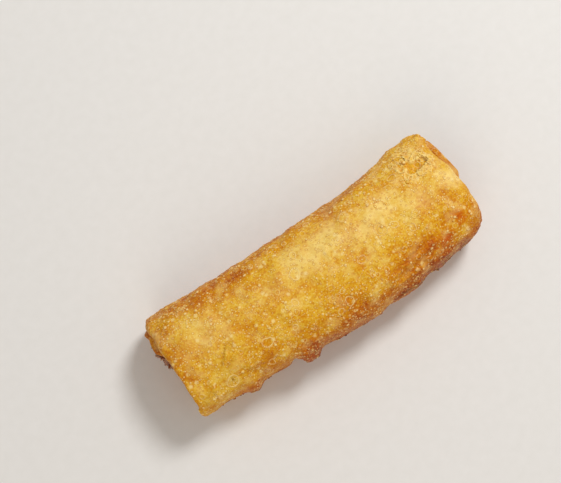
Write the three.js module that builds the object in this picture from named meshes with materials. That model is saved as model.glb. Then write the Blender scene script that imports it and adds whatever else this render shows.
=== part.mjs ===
// A deep-fried spring roll: a thin wheat sheet, its sides folded in, rolled round a shredded filling.
// The roll lies along X on its flat underside. +Y and -Y are its two long sides, and +Z is up.
// Two solids: the wrapper, a closed shell with a small mouth at its left end, and the filling,
// which runs through the wrapper and shows in that mouth.
import * as THREE from 'three';

// ---- Driving dimensions, in millimetres ----

// Sections along the roll: where each stands, its two long edges, and its height.
const SECTIONS = [
  { x: -52.2, low: -15.2, high: 18.8, height: 23.6 },
  { x: -41, low: -16.1, high: 18.6, height: 25.6 },
  { x: -21, low: -17.2, high: 17.8, height: 27.0 },
  { x: 1, low: -19.2, high: 17.4, height: 27.6 },
  { x: 21, low: -18.9, high: 17.6, height: 27.2 },
  { x: 39, low: -17.3, high: 19.2, height: 26.0 },
  { x: 49, low: -15.8, high: 20.0, height: 24.6 },
  { x: 54, low: -13.6, high: 18.6, height: 23.2 },
];

// The section is a rounded box: fuller below its widest line than above it.
const WIDEST_AT = 0.46; // part of the height
const FULLNESS_TOP = 2.3; // exponents of the rounded outline
const FULLNESS_BOTTOM = 2.9;
const UNDERSIDE_FLAT = 1.6; // how much of the round underside is pressed flat

// The foot: the flat rectangle under the roll. Its four corners dip a little below the
// flat, so that the roll stands firm on them. Round the foot the underside is a little higher.
const FOOT = { halfWidth: 8, dip: 0.25, dipFrom: 0.5, lift: 0.5 };
const FOOT_RINGS = { first: 6, last: 33 }; // the skin's rings that cross it
const FOOT_POINTS = { first: 8, last: 13 }; // the points of each ring that make its two edges

// The sheet, and the step where its free edge lies low on the -Y side.
const SHEET = 0.9;
const SEAM_ANGLE = 1.07 * Math.PI; // from +Y, over the top
const SEAM_GAP_ANGLE = 0.04;
const LOBE = { x: -15.2, halfLength: 4.2, rise: 1.9, reach: 0.14 }; // sheet pushed out under the seam

// The skin's waves, from the filling pressing through: a slow pattern and a quick one.
const SLOW_WAVE = { height: 0.28, along: 7.3, drift: 19 };
const QUICK_WAVE = { height: 0.17, along: 3.1, cross: 4.7 };

// A broken blister near the right end, and the fold of slack skin near the left end.
const BLISTER = { x: 44.3, y: 11, radius: 6.2, depth: 0.9, rimAt: 0.95, rimWidth: 0.35, rimShare: 0.5 };
const WRINKLE = { x: -34.2, y: -4.9, halfLength: 7, halfWidth: 1.6, rise: 0.5, slant: 1.2 };

// The folded ends. The end planes lean, and their outer edges are rounded.
const LEFT_END = { x: -52.1, lean: 0.6, rounding: 1.7, innerRise: 1.1 };
const RIGHT_END = { x: 53.1, lean: -1.2, rounding: 3.2, innerRise: 1.3 };
const ROUNDING_STEPS = 3;
const EDGE_SHARE = 0.8; // the edge's arc is a little flatter towards the middle
const LEAN_STARTS = 0.75; // part of the half length that stays upright
// Profile of an end inside its rounded edge: inset from that edge, and how far out the sheet stands.
const END_FOLDS = [
  { inset: 0.8, out: -0.1 },
  { inset: 1.4, out: -1.5 },
  { inset: 2.0, out: -0.1, inner: true },
  { inset: 3.0, out: -0.3, inner: true },
  { inset: 3.6, out: -1.7 },
  { inset: 4.4, out: -1.1 },
  { inset: 5.2, out: -1.4 },
];
const INNER_RISE_FROM = 1; // Y where that starts, and where it is full
const INNER_RISE_FULL = 5;

// The mouth in the left end, sunk a little behind the lip, and the cavity behind it.
const MOUTH = { y: 5.6, z: 11.6, halfWidth: 5.0, halfHeight: 3.8, sunk: 1.8, depth: 2.6 };
const WALL = 2.7;
const END_WALL = 5;
const CAVITY_ROUNDING = 2.5;
const FIT_GAP = 0.35;

// The filling's rough front, which stands a little out of the mouth. Its rings are shares of the
// mouth's size, each some way back from the foremost one.
const FILLING_OUT = 1.5;
const FRONT_RINGS = [
  { share: 0.35, back: 0 },
  { share: 0.7, back: 0.2 },
  { share: 0.94, back: 0.9 },
];
const SHREDS = { rise: 0.6, around: 9, twist: 3, slow: 5, shift: 8 };

// Fineness of the mesh.
const AROUND = 50;
const SKIN_RINGS = 40;
const CAVITY_SPANS = 8;
const RING_SPACE = 1.8; // between the skin and the first ring of an end
const NECK_SPACE = 0.4; // between the mouth's edge and the filling's ring in front of it

// ---- The section of the roll ----

const { lerp, smoothstep, clamp } = THREE.MathUtils;

const sectionCurve = new THREE.CubicInterpolant(
  SECTIONS.map((s) => s.x),
  SECTIONS.flatMap((s) => [s.low, s.high, s.height]),
  3,
);

function sectionAt(x) {
  const inRange = clamp(x, SECTIONS[0].x, SECTIONS.at(-1).x);
  const [low, high, height] = sectionCurve.evaluate(inRange);
  return { middle: (low + high) / 2, halfWidth: (high - low) / 2, height };
}

function rounded(value, fullness) {
  return Math.sign(value) * Math.abs(value) ** (2 / fullness);
}

// A point of the section at x, moved inwards by inset.
function sectionPoint(x, angle, inset) {
  const { middle, halfWidth, height } = sectionAt(x);
  const up = Math.sin(angle);
  const fullness = up > 0 ? FULLNESS_TOP : FULLNESS_BOTTOM;
  const widestZ = height * WIDEST_AT;
  const reachZ = up > 0 ? height - widestZ : widestZ + UNDERSIDE_FLAT;
  const y = middle + (halfWidth - inset) * rounded(Math.cos(angle), fullness);
  const z = widestZ + (reachZ - inset) * rounded(up, fullness);
  return new THREE.Vector3(x, y, z);
}

// ---- What stands out of the plain section ----

function hump(distance) {
  return distance < 1 ? (1 + Math.cos(Math.PI * distance)) / 2 : 0;
}

function waves(x, angle) {
  const lengthwise = Math.sin(x / SLOW_WAVE.along + 2 * Math.sin(angle));
  const slow = lengthwise * Math.cos(2 * angle + x / SLOW_WAVE.drift);
  const ripple = Math.sin(x / QUICK_WAVE.along + 3 * angle);
  const quick = ripple * Math.sin(x / QUICK_WAVE.cross - 2 * angle + 1);
  return SLOW_WAVE.height * slow + QUICK_WAVE.height * quick;
}

function blister(x, y) {
  const away = Math.hypot(x - BLISTER.x, y - BLISTER.y) / BLISTER.radius;
  const rim = BLISTER.rimShare * hump(Math.abs(away - BLISTER.rimAt) / BLISTER.rimWidth);
  return BLISTER.depth * (rim - hump(away));
}

function wrinkle(x, y) {
  const along = (x - WRINKLE.x - WRINKLE.slant * (y - WRINKLE.y)) / WRINKLE.halfLength;
  const across = (y - WRINKLE.y) / WRINKLE.halfWidth;
  return WRINKLE.rise * hump(Math.hypot(along, across));
}

// The angle round the section, as turn goes from 0 at the seam to 1 back at the seam.
function turnAngle(turn) {
  return SEAM_ANGLE + turn * (2 * Math.PI - SEAM_GAP_ANGLE);
}

function isWithin(range, index) {
  return index >= range.first && index <= range.last;
}

// From -1 at the first of a range to 1 at its last.
function shareOf(range, index) {
  return lerp(-1, 1, (index - range.first) / (range.last - range.first));
}

function footPoint(x, r, i) {
  const along = shareOf(FOOT_RINGS, r);
  const across = shareOf(FOOT_POINTS, i);
  const dip = FOOT.dip * smoothstep(Math.abs(along * across), FOOT.dipFrom, 1);
  return new THREE.Vector3(x, across * FOOT.halfWidth, FOOT.dip - dip);
}

// The outer skin: each turn round the roll climbs by one sheet, and ends in the step of the seam.
function skinPoint(x, turn, r, i) {
  const angle = turnAngle(turn);
  const base = sectionPoint(x, angle, 0);
  const fromSeam = turn / LOBE.reach;
  let rise = SHEET * (turn - 1) + waves(x, angle);
  rise += LOBE.rise * hump(Math.abs(x - LOBE.x) / LOBE.halfLength) * hump(fromSeam);
  if (Math.sin(angle) > 0) {
    rise += blister(x, base.y) + wrinkle(x, base.y);
  }
  const point = sectionPoint(x, angle, -rise);
  if (isWithin(FOOT_RINGS, r) && isWithin(FOOT_POINTS, i)) {
    return footPoint(x, r, i);
  }
  point.z = Math.max(point.z, FOOT.lift);
  return point;
}

// ---- Rings from end to end ----

function ring(count, pointAt) {
  return Array.from({ length: count }, (_, i) => pointAt(i / (count - 1), i));
}

// Moves a point near an end along X, so that the end plane leans.
function leaned(point, end) {
  const { halfWidth, middle } = sectionAt(end.x);
  const share = smoothstep(point.x / end.x, LEAN_STARTS, 1);
  point.x += end.lean * share * ((point.y - middle) / halfWidth);
  return point;
}

// One ring of a folded end: the skin's outline moved in by inset, standing out from the end plane.
function endRing(end, inset, out, innerRise) {
  return ring(AROUND, (turn) => {
    const x = end.x + Math.sign(end.x) * out;
    const point = sectionPoint(x, turnAngle(turn), inset + SHEET * (1 - turn));
    point.z = Math.max(point.z, FOOT.lift + inset);
    const rise = innerRise * smoothstep(point.y, INNER_RISE_FROM, INNER_RISE_FULL);
    point.x += Math.sign(end.x) * rise;
    return leaned(point, end);
  });
}

// The end from the skin inwards: an arc over its edge, then the folds.
function foldedEnd(end) {
  const rings = [];
  for (let i = 0; i <= ROUNDING_STEPS; i += 1) {
    const arc = (i / ROUNDING_STEPS) * (Math.PI / 2);
    const inset = end.rounding * (1 - Math.cos(arc)) * EDGE_SHARE;
    rings.push(endRing(end, inset, end.rounding * (Math.sin(arc) - 1), 0));
  }
  for (const fold of END_FOLDS) {
    const inset = end.rounding * EDGE_SHARE + fold.inset;
    rings.push(endRing(end, inset, fold.out, fold.inner ? end.innerRise : 0));
  }
  return rings;
}

function mouthPoint(turn, x, grow) {
  const angle = turnAngle(turn);
  const y = MOUTH.y + (MOUTH.halfWidth + grow) * Math.cos(angle);
  const z = MOUTH.z + (MOUTH.halfHeight + grow) * Math.sin(angle);
  return leaned(new THREE.Vector3(x, y, z), LEFT_END);
}

function skinRings() {
  const start = RIGHT_END.x - RIGHT_END.rounding - RING_SPACE;
  const stop = LEFT_END.x + LEFT_END.rounding + RING_SPACE;
  return Array.from({ length: SKIN_RINGS }, (_, r) => {
    const x = lerp(start, stop, r / (SKIN_RINGS - 1));
    const end = x > 0 ? RIGHT_END : LEFT_END;
    return ring(AROUND, (turn, i) => leaned(skinPoint(x, turn, r, i), end));
  });
}

// The cavity's wall, or the filling's side a little inside it, as far from the skin as inset says.
const CAVITY_START = LEFT_END.x + END_WALL;
const CAVITY_STOP = RIGHT_END.x - END_WALL;

function cavityRing(x, inset) {
  return ring(AROUND, (turn) => {
    const point = sectionPoint(x, turnAngle(turn), inset);
    point.z = Math.max(point.z, inset);
    return point;
  });
}

function cavityRings(inset) {
  const start = CAVITY_START + inset - WALL;
  const stop = CAVITY_STOP - inset + WALL;
  const rings = [cavityRing(start, inset + CAVITY_ROUNDING)];
  for (let i = 0; i <= CAVITY_SPANS; i += 1) {
    const x = lerp(start + CAVITY_ROUNDING, stop - CAVITY_ROUNDING, i / CAVITY_SPANS);
    rings.push(cavityRing(x, inset));
  }
  rings.push(cavityRing(stop, inset + CAVITY_ROUNDING));
  return rings;
}

// ---- Closed meshes from rings ----

// Joins rings of equal length into one closed body, with a fan over the first and the last ring.
function closedLoft(rings) {
  const around = rings[0].length;
  const points = rings.flat();
  const triangles = [];
  for (let r = 0; r < rings.length - 1; r += 1) {
    for (let i = 0; i < around; i += 1) {
      const next = (i + 1) % around;
      const a = r * around + i;
      const b = r * around + next;
      triangles.push(a, a + around, b, b, a + around, b + around);
    }
  }
  for (const r of [0, rings.length - 1]) {
    const hub = points.length;
    const middle = new THREE.Vector3();
    rings[r].forEach((p) => middle.addScaledVector(p, 1 / around));
    points.push(middle);
    for (let i = 0; i < around; i += 1) {
      const a = r * around + i;
      const b = r * around + ((i + 1) % around);
      triangles.push(...(r === 0 ? [a, b, hub] : [b, a, hub]));
    }
  }
  const geometry = new THREE.BufferGeometry();
  const positions = points.flatMap((p) => p.toArray());
  geometry.setAttribute('position', new THREE.Float32BufferAttribute(positions, 3));
  geometry.setIndex(triangles);
  geometry.computeVertexNormals();
  return geometry;
}

// ---- The wrapper ----

const MOUTH_EDGE = LEFT_END.x + MOUTH.sunk;
const MOUTH_INNER = MOUTH_EDGE + MOUTH.depth;

function wrapperRings() {
  const right = foldedEnd(RIGHT_END).reverse();
  const left = foldedEnd(LEFT_END);
  const mouthEdge = ring(AROUND, (turn) => mouthPoint(turn, MOUTH_EDGE, 0));
  const mouthInner = ring(AROUND, (turn) => mouthPoint(turn, MOUTH_INNER, 0));
  return [
    ...right,
    ...skinRings(),
    ...left,
    mouthEdge,
    mouthInner,
    ...cavityRings(WALL),
  ];
}

// ---- The filling ----

// One ring of the filling's front, with the ends of its shreds at uneven depths.
function shreddedRing(front) {
  const x = LEFT_END.x - FILLING_OUT + front.back;
  const inset = FIT_GAP + (1 - front.share) * MOUTH.halfHeight;
  return ring(AROUND, (turn) => {
    const point = mouthPoint(turn, x, -inset);
    const fine = Math.sin(SHREDS.around * turn * Math.PI + SHREDS.twist * front.share);
    const slow = Math.sin(SHREDS.slow * turn + SHREDS.shift * front.share);
    point.x += SHREDS.rise * fine * slow;
    return point;
  });
}

function fillingRings() {
  const front = FRONT_RINGS.map(shreddedRing);
  const neck = [MOUTH_EDGE - NECK_SPACE, MOUTH_INNER + FIT_GAP];
  return [
    ...front,
    ...neck.map((x) => ring(AROUND, (turn) => mouthPoint(turn, x, -FIT_GAP))),
    ...cavityRings(WALL + FIT_GAP),
  ].reverse();
}

const crust = new THREE.MeshStandardMaterial({ color: 0xdcae52, roughness: 0.45, metalness: 0 });
const wrapper = new THREE.Mesh(closedLoft(wrapperRings()), crust);
wrapper.name = 'wrapper';

const cooked = new THREE.MeshStandardMaterial({ color: 0x8f5f44, roughness: 0.6, metalness: 0 });
const filling = new THREE.Mesh(closedLoft(fillingRings()), cooked);
filling.name = 'filling';

// ---- The roll, centred over the origin, with its underside at z = 0 ----

const springRoll = new THREE.Group();
springRoll.add(wrapper, filling);
const extent = new THREE.Box3().setFromObject(springRoll, true);
const centre = extent.getCenter(new THREE.Vector3());
springRoll.position.set(-centre.x, -centre.y, -extent.min.z);

export default springRoll;
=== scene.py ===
import math

import bpy
import numpy as np
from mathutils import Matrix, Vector
from mathutils.bvhtree import BVHTree


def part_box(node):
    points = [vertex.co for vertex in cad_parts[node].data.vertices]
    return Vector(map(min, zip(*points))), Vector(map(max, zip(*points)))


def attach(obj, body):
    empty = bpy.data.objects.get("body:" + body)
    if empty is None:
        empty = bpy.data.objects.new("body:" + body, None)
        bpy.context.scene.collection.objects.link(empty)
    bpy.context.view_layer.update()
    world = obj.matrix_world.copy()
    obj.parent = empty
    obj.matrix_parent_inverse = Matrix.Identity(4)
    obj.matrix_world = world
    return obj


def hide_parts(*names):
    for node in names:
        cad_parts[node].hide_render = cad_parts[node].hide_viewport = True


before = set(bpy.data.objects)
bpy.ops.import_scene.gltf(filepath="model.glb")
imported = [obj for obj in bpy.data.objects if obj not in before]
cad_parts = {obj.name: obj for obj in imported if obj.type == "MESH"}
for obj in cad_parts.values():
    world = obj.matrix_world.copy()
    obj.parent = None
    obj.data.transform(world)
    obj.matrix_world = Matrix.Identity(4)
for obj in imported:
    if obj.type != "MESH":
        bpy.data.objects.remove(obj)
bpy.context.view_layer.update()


# ---- The wrapper ----
# One square sheet of thin wheat pastry. Its two sides are folded in, it is rolled up round the
# filling, and the roll is deep-fried. The hot oil blisters the sheet all over, browns its long
# edges and its folds most, and leaves it crisp with a light coat of oil.

MM = 0.001
SHEET_THICK = 0.9
ROWS_ON_SKIN = 258
COLUMNS = 282
box_low, box_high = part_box("wrapper")
left_x = box_low.x / MM
length = (box_high.x - box_low.x) / MM
random = np.random.default_rng(21)

# The section along the roll: its two long edges and its height, in millimetres.
station_x = left_x + length * np.array([0.007, 0.112, 0.299, 0.504, 0.691, 0.859, 0.952, 1.0])
edge_low = [-15.2, -16.1, -17.2, -19.2, -18.9, -17.3, -15.8, -13.6]
edge_high = [19.3, 19.0, 18.2, 17.8, 18.1, 20.4, 22.0, 21.2]
heights = [23.6, 25.6, 27.0, 27.6, 27.2, 26.0, 24.6, 23.2]
low_curve = np.polynomial.Polynomial.fit(station_x, edge_low, 6)
high_curve = np.polynomial.Polynomial.fit(station_x, edge_high, 6)
height_curve = np.polynomial.Polynomial.fit(station_x, heights, 6)


def smooth(value, start, stop):
    share = np.clip((value - start) / (stop - start), 0, 1)
    return share * share * (3 - 2 * share)


def hump(distance):
    return np.where(distance < 1, (1 + np.cos(np.pi * np.minimum(distance, 1))) / 2, 0)


def rounded(value, fullness):
    return np.sign(value) * np.abs(value) ** (2 / fullness)


def section_point(x, angle, inset):
    """Y and Z of the rounded-box section at x, moved inwards by inset."""
    inside = np.clip(x, station_x[0], station_x[-1])
    low, high, height = low_curve(inside), high_curve(inside), height_curve(inside)
    up = np.sin(angle)
    widest = height * 0.46
    reach = np.where(up > 0, height - widest, widest + 1.6)
    across = np.where(up > 0, rounded(np.cos(angle), 2.3), rounded(np.cos(angle), 2.9))
    rise = np.where(up > 0, rounded(up, 2.3), rounded(up, 2.9))
    half = (high - low) / 2
    y = (low + high) / 2 + np.maximum(half - inset, 0.4) * across
    z = widest + np.maximum(reach - inset, 0.2) * rise
    return y, z


def rough(points, size, seed, waves=22):
    """Smooth unevenness with bumps about size apart, of unit strength, the same for each seed."""
    rng = np.random.default_rng(seed)
    total = np.zeros(points.shape[:-1])
    for _ in range(waves):
        way = rng.normal(size=3)
        way *= 2 * np.pi / (size * rng.uniform(0.7, 1.5)) / np.linalg.norm(way)
        total += np.sin(points @ way + rng.uniform(0, 2 * np.pi))
    return total / math.sqrt(waves / 2)


def eased_path(corners, steps):
    """A smooth line through the corners, with that many steps between each two."""
    padded = np.vstack([2 * corners[0] - corners[1], corners, 2 * corners[-1] - corners[-2]])
    line = []
    for i in range(1, len(padded) - 2):
        a, b, c, d = padded[i - 1 : i + 3]
        for t in np.arange(steps) / steps:
            place = 2 * b + (c - a) * t
            place = place + (2 * a - 5 * b + 4 * c - d) * t**2
            place = place + (3 * b - 3 * c + d - a) * t**3
            line.append(0.5 * place)
    line.append(padded[-2])
    return np.array(line)


# The seam, where the sheet's free edge lies along the low side, in half turns from the high side.
SEAM_AT = 1.07
SEAM_GAP = 0.035


def seam_angle(x):
    """Where the seam lies at x. It wanders a little."""
    wander = 0.10 * hump(np.abs(x - 20) / 24) - 0.025 * np.sin(x / 5.1) - 0.012 * np.sin(x / 1.9)
    return math.pi * (SEAM_AT - wander)


# The columns run round the roll from seam to seam, close together where the skin can be seen.
fine_turn = np.linspace(0, 1, 4000)
fine_y, fine_z = section_point(0, SEAM_AT * math.pi + fine_turn * (2 * math.pi - SEAM_GAP), 0)
step = np.hypot(np.diff(fine_y), np.diff(fine_z))
weight = np.where(fine_z[1:] < 1.5, 0.5, 1)
walked = np.concatenate([[0], np.cumsum(step * weight)])
turn = np.interp(np.linspace(0, walked[-1], COLUMNS), walked, fine_turn)

# The rows run from the closed right end over the skin to the mouth in the left end. Each end is an
# arc over the outer lip, then the folds: how far in from the outline, how far out along X, and how
# much the inner lip stands out there.
LEFT = {"x": -52.1, "side": -1, "lean": 0.6, "arc": 1.7, "rise": 1.5, "arc_rows": 7}
RIGHT = {"x": 53.1, "side": 1, "lean": -1.2, "arc": 3.0, "rise": 1.9, "arc_rows": 11}
LIP_FULLNESS = 0.8
FOLDS = np.array(
    [
        [0.0, 0.0, 0.0],
        [0.7, -0.2, 0.0],
        [1.2, -1.5, 0.2],
        [1.8, -0.2, 1.0],
        [2.6, 0.0, 1.0],
        [3.4, -1.7, 0.5],
        [4.1, -0.9, 0.4],
        [4.9, -1.2, 0.3],
    ]
)


def end_rows(end):
    """Rows of x, inset and inner rise, from the skin inwards."""
    arc = np.linspace(0, math.pi / 2, end["arc_rows"], endpoint=False)[1:]
    lip_x = end["x"] + end["side"] * end["arc"] * (np.sin(arc) - 1)
    lip_inset = end["arc"] * (1 - np.cos(arc)) * LIP_FULLNESS
    lip = np.column_stack([lip_x, lip_inset, np.zeros(len(arc))])
    folds = eased_path(FOLDS, 4)
    fold_x = end["x"] + end["side"] * folds[:, 1]
    fold_inset = end["arc"] * LIP_FULLNESS + folds[:, 0]
    return np.vstack([lip, np.column_stack([fold_x, fold_inset, folds[:, 2] * end["rise"]])])


skin_x = np.linspace(RIGHT["x"] - RIGHT["arc"], LEFT["x"] + LEFT["arc"], ROWS_ON_SKIN)
skin = np.column_stack([skin_x, np.zeros(ROWS_ON_SKIN), np.zeros(ROWS_ON_SKIN)])
right_rows = end_rows(RIGHT)
left_rows = end_rows(LEFT)
# The sheet goes on inwards at the closed right end, as rows of the same three values.
pinch = np.array([[51.4, 8.6, 0], [51.2, 9.6, 0], [50.6, 10.6, 0], [49.6, 11.4, 0], [48.6, 12.0, 0]])
rows = np.vstack([pinch[::-1], right_rows[::-1], skin, left_rows])
first_skin = len(pinch) + len(right_rows)
last_skin = first_skin + ROWS_ON_SKIN - 1
row_x, row_inset, row_rise = rows.T[:, :, None]
on_right = np.arange(len(rows))[:, None] < len(rows) / 2
end_x = np.where(on_right, RIGHT["x"], LEFT["x"])
end_side = np.where(on_right, 1, -1)
row_number = np.arange(len(rows))
off_skin = np.maximum(first_skin - row_number, row_number - last_skin).clip(0)
skin_share = 1 - smooth(off_skin, 0, 9)[:, None]

# The folds aren't even: the sheet's edges wave as they go round.
angle = seam_angle(row_x) + turn * (2 * math.pi - SEAM_GAP)
inset = np.broadcast_to(row_inset, angle.shape)
ring_points = np.stack([np.cos(angle), np.sin(angle), inset * 0.35 + end_side * 3], -1) * 10
fold_depth = smooth(inset, 1.5, 3.5)
uneven_out = rough(ring_points, 9, 5) * 0.20 * fold_depth + rough(ring_points, 3.4, 6) * 0.10 * fold_depth
uneven_in = rough(ring_points, 7, 7) * 0.25 * fold_depth

# How far the skin stands out from the plain section: slack waves, two lobes and a lump of the layer
# beneath on the low edge, and the sheet's free edge along the seam.
slow_wave = np.sin(row_x / 7.3 + 2 * np.sin(angle)) * np.cos(2 * angle + row_x / 19)
quick_wave = np.sin(row_x / 3.1 + 3 * angle) * np.sin(row_x / 4.7 - 2 * angle + 1)
rise = SHEET_THICK * (turn - 1) + skin_share * (0.28 * slow_wave + 0.17 * quick_wave)
near_seam = smooth(turn, 0.11, 0.0) + smooth(turn, 0.86, 1.0)
lobe = hump(np.abs(row_x + 14.5) / 5.7) * near_seam
small_lobe = hump(np.abs(row_x + 33.8) / 4.4) * near_seam
under_layer = hump(np.abs(row_x - 22) / 15) * smooth(turn, 0.12, 0.0)
puckers = 0.5 + 0.5 * np.sin(row_x * 1.9 + 1.1 * np.sin(row_x * 0.7))
lobes = lobe * (2.1 + 0.6 * puckers) + small_lobe * (1.6 + 0.3 * puckers)
rise = rise + skin_share * (lobes + 1.9 * under_layer)
free_edge = smooth(turn, 0.972, 1) * (0.35 + 0.25 * np.sin(row_x / 3.3) * np.sin(row_x / 7.9))
under_edge = smooth(turn, 0.022, 0)
rise = rise + skin_share * (free_edge - 0.25 * under_edge)
rise = rise - (1.5 * smooth(row_x, 49, 53) - 0.8 * hump(np.abs(row_x - 26) / 5)) * near_seam
rise = rise - 1.2 * hump(np.abs(row_x + 18.6) / 3) * near_seam * skin_share

# The ends: the folds stand out by different amounts, the left end's face is sunk in towards the
# floor and its low side, and the right end is drawn back where it is high.
y, z = section_point(row_x, angle, row_inset + uneven_in - rise)
folded = smooth(off_skin, 0, 6)[:, None]
left_fold = (1 - on_right) * row_rise * smooth(y, 5.0, 8.0) * smooth(y, 17.0, 14.5)
right_fold = on_right * row_rise * 0.9 * smooth(y, -1.0, 3.5) * smooth(y, 19.5, 16.0)
x = row_x + end_side * (left_fold + right_fold + uneven_out - 0.25 * fold_depth)
low_corner = smooth(y, -11, -15)
sunk_in = 1.4 * smooth(z, 19, 3) * (1 - 0.5 * low_corner)
sunk_in = sunk_in + 1.5 * smooth(y, 6, 0) * smooth(z, 27, 18) * (1 - low_corner)
x = x + (1 - on_right) * folded * sunk_in
drawn_back = smooth(y, 1.0, 13.0) - 0.6 * smooth(y, 13.0, 18.5)
x = x - on_right * 1.5 * drawn_back * (1 - 0.6 * fold_depth) * smooth(row_x, 44, 52)
low_y, high_y = low_curve(end_x), high_curve(end_x)
aside = (y - (low_y + high_y) / 2) / ((high_y - low_y) / 2)
lean = np.where(on_right, RIGHT["lean"], LEFT["lean"])
x = x + lean * smooth(x / end_x, 0.75, 1) * aside
skin_points = np.stack([x, y, z], -1)


def outward(points):
    """Unit normals of a grid that is closed round its columns."""
    along = np.gradient(points, axis=0)
    around = np.roll(points, -1, 1) - np.roll(points, 1, 1)
    normal = np.cross(along, around)
    return normal / np.maximum(np.linalg.norm(normal, axis=-1, keepdims=True), 1e-9)


normals = outward(skin_points)
flat = skin_points
push = 0.15 * rough(flat, 9, 11) + 0.06 * rough(flat, 3.8, 12) + 0.028 * rough(flat, 1.6, 13)
on_top = normals[..., 2] > 0.2


# Creases: a narrow ridge of slack skin with a groove beside it, each from one point to another. The groove
# also gets painted shade.
painted_groove_shade = np.zeros_like(push)


def crease(start, stop, width, height, bend=0.0):
    """How far one crease pushes the skin out, and how dark the painted shade in its groove is."""
    start, stop = np.array(start), np.array(stop)
    way = stop - start
    reach = np.linalg.norm(way)
    way = way / reach
    offset = flat[..., :2] - start
    along = offset @ way / reach
    across = offset @ np.array([-way[1], way[0]]) - bend * 4 * along * (1 - along)
    across = across + 0.25 * rough(flat, 3, 21)
    fade = smooth(along, -0.08, 0.2) * smooth(along, 1.08, 0.75) * on_top
    crest = np.exp(-((across / width) ** 2)) * fade
    trough = np.exp(-(((across - 1.7 * width) / width) ** 2)) * fade
    sharpness = smooth(width, 0.52, 0.40)
    return 0.75 * height * (crest - 0.6 * trough), (0.15 + 0.85 * sharpness) * height * trough


for crease_line in [
    ((-38.8, -7.6), (-33.8, -2.8), 0.32, 0.50, 0.3),
    ((-34.6, -2.6), (-32.4, -7.8), 0.32, 0.42, 0.3),
    ((-37.6, -9.0), (-33.0, -7.4), 0.36, 0.30, 0.4),
    ((-30.0, -2.0), (-12.0, -5.5), 0.60, 0.22, -1.0),
    ((6.0, 8.0), (-1.0, -11.0), 0.75, 0.36, 2.0),
    ((-8.0, -15.0), (14.0, -12.5), 0.70, 0.26, 0.8),
    ((16.0, -13.6), (38.0, -10.6), 0.55, 0.45, -0.6),
    ((18.0, -16.2), (36.0, -14.2), 0.50, 0.42, -0.5),
    ((26.0, 13.0), (37.0, 10.0), 0.60, 0.40, 0.6),
    ((-20.0, 14.0), (6.0, 13.0), 0.80, 0.30, 0.7),
    ((-49.0, -14.5), (-44.5, -7.0), 0.50, 0.40, -0.9),
    ((-44.5, -14.8), (-44.0, -9.0), 0.45, 0.32, 0.5),
    ((-50.0, 15.5), (-43.0, 11.0), 0.50, 0.25, 0.4),
]:
    relief, shade = crease(*crease_line)
    push += relief
    painted_groove_shade = np.maximum(painted_groove_shade, shade)

# A pit in the skin near the left end's low corner, inside the largest ring there. Its hollow is also
# darkened with painted shade further on.
pit = np.exp(-((np.hypot(flat[..., 0] + 38.6, flat[..., 1] + 12.2) / 0.55) ** 2)) * on_top
push -= 0.4 * pit

# The broken blister near the right end: the top skin has split into small plates with lifted,
# ragged edges, and between them lie holes that show the sheet beneath.
BLISTER = (42.6, 12.2)
PLATES = 34
HOLES = [
    (42.4, 11.0, 2.2),
    (45.5, 10.6, 1.6),
    (44.0, 10.2, 1.2),
    (41.9, 14.9, 0.6),
    (38.8, 12.4, 0.45),
]
around_blister = np.hypot(flat[..., 0] - BLISTER[0], flat[..., 1] - BLISTER[1])
blistered = on_top * smooth(around_blister + 0.7 * rough(flat, 4, 30), 7.2, 5.6)
shifted = flat[..., :2] + 0.45 * np.stack([rough(flat, 2.2, 31), rough(flat, 2.2, 32)], -1)
plate_angle = random.uniform(0, 2 * math.pi, PLATES)
plate_reach = 7.5 * np.sqrt(random.uniform(0, 1, PLATES))
plate_x = BLISTER[0] + plate_reach * np.cos(plate_angle)
plate_y = BLISTER[1] + plate_reach * np.sin(plate_angle)
plate_away = np.linalg.norm(shifted[:, :, None] - np.stack([plate_x, plate_y], -1), axis=-1)
nearest_plate = np.argmin(plate_away, -1)
plate_away = np.sort(plate_away, axis=-1)
plate_edge = np.exp(-(((plate_away[..., 1] - plate_away[..., 0]) / 0.38) ** 2)) * blistered
plate_level = random.uniform(-0.1, 0.4, PLATES)[nearest_plate]
hole_away = np.full_like(push, 9.0)
for hx, hy, size in HOLES:
    hole_away = np.minimum(hole_away, np.hypot(shifted[..., 0] - hx, shifted[..., 1] - hy) / size)
hole_away = hole_away + 0.12 * rough(flat, 1.3, 35)
hole = smooth(hole_away, 1.08, 0.86) * on_top
hole_rim = np.exp(-(((hole_away - 1.22) / 0.20) ** 2)) * on_top * (1 - hole)
push += blistered * (0.10 + 0.6 * plate_level) * (1 - hole) + 0.26 * plate_edge * (1 - hole)
push += 0.34 * hole_rim - 0.50 * hole + 0.18 * hole * rough(flat, 1.8, 36)

# Crumbs of pastry stuck at the right end's high corner.
crumbs = hump(np.hypot(flat[..., 0] - 50.5, flat[..., 1] - 17.5) / 3.6)
push += crumbs * (0.6 + 0.5 * rough(flat, 1.8, 41))

# Bubbles. Small ones are domes; larger ones have sunk and left a raised ring.
dome_height = np.zeros_like(push)
dome_share = np.zeros_like(push)
ring_height = np.zeros_like(push)
ring_share = np.zeros_like(push)

# A little less than the usual distance between two rows and two columns of the grid.
ROW_STEP = 0.30
COLUMN_STEP = 0.26


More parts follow.
